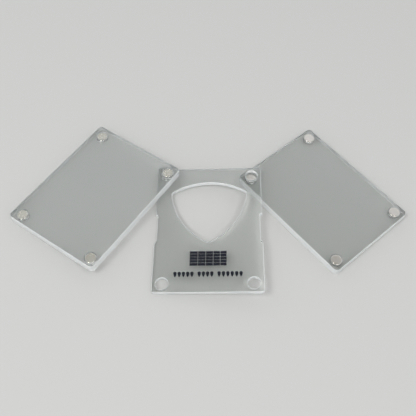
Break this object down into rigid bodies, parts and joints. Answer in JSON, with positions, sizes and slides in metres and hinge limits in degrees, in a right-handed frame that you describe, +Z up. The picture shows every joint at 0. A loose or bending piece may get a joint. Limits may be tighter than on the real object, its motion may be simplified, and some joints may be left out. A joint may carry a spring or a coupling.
{
  "type": "pick holder",
  "caption": "Clear acrylic guitar pick holder shown opened out: a pick-shaped middle frame between two covers joined by corner magnets.",
  "frame": {"origin": "centre of the spread layout's footprint, on the surface that it lies on", "axes": "+Z up from the surface, +X along the row of three plates from the top cover to the bottom cover, +Y towards the end of the middle plate that the pick opening's wide side faces"},
  "size_m": [0.1794, 0.0912, 0.0073],
  "materials": {
    "acrylic": "clear polished cast acrylic",
    "nickel": "satin nickel plating",
    "adhesive": "cured clear amber adhesive",
    "ink": "dark ink fill"
  },
  "bodies": {
    "bottom": {"bottom_cover": "acrylic", "bottom_magnet_upper_left": "nickel", "bottom_magnet_upper_right": "nickel", "bottom_magnet_lower_right": "nickel", "bottom_magnet_lower_left": "nickel", "bottom_adhesive_upper_left": "adhesive", "bottom_adhesive_upper_right": "adhesive", "bottom_adhesive_lower_right": "adhesive", "bottom_adhesive_lower_left": "adhesive"},
    "middle": {"middle_plate": "acrylic", "ink_panel": "ink", "ink_bar_left": "ink", "ink_bar_centre": "ink", "ink_bar_right": "ink"},
    "top_pivot": {"top_magnet_upper_right": "nickel", "top_adhesive_upper_right": "adhesive"},
    "top": {"top_cover": "acrylic", "top_magnet_upper_left": "nickel", "top_magnet_lower_right": "nickel", "top_magnet_lower_left": "nickel", "top_adhesive_upper_left": "adhesive", "top_adhesive_lower_right": "adhesive", "top_adhesive_lower_left": "adhesive"}
  },
  "joints": [
    {"name": "middle_swing", "type": "hinge", "parent": "bottom", "child": "middle", "pos_m": [0.0182, 0.01415, 0.004], "axis": [0, 0, 1], "range_deg": [-48, 41]},
    {"name": "top_lift", "type": "slide", "parent": "middle", "child": "top_pivot", "axis": [0, 0, 1], "range_m": [0, 0.025]},
    {"name": "top_swing", "type": "hinge", "parent": "top_pivot", "child": "top", "pos_m": [-0.02094, 0.01413, 0.00402], "axis": [0, 0, 1], "range_deg": [-18, 33]}
  ]
}
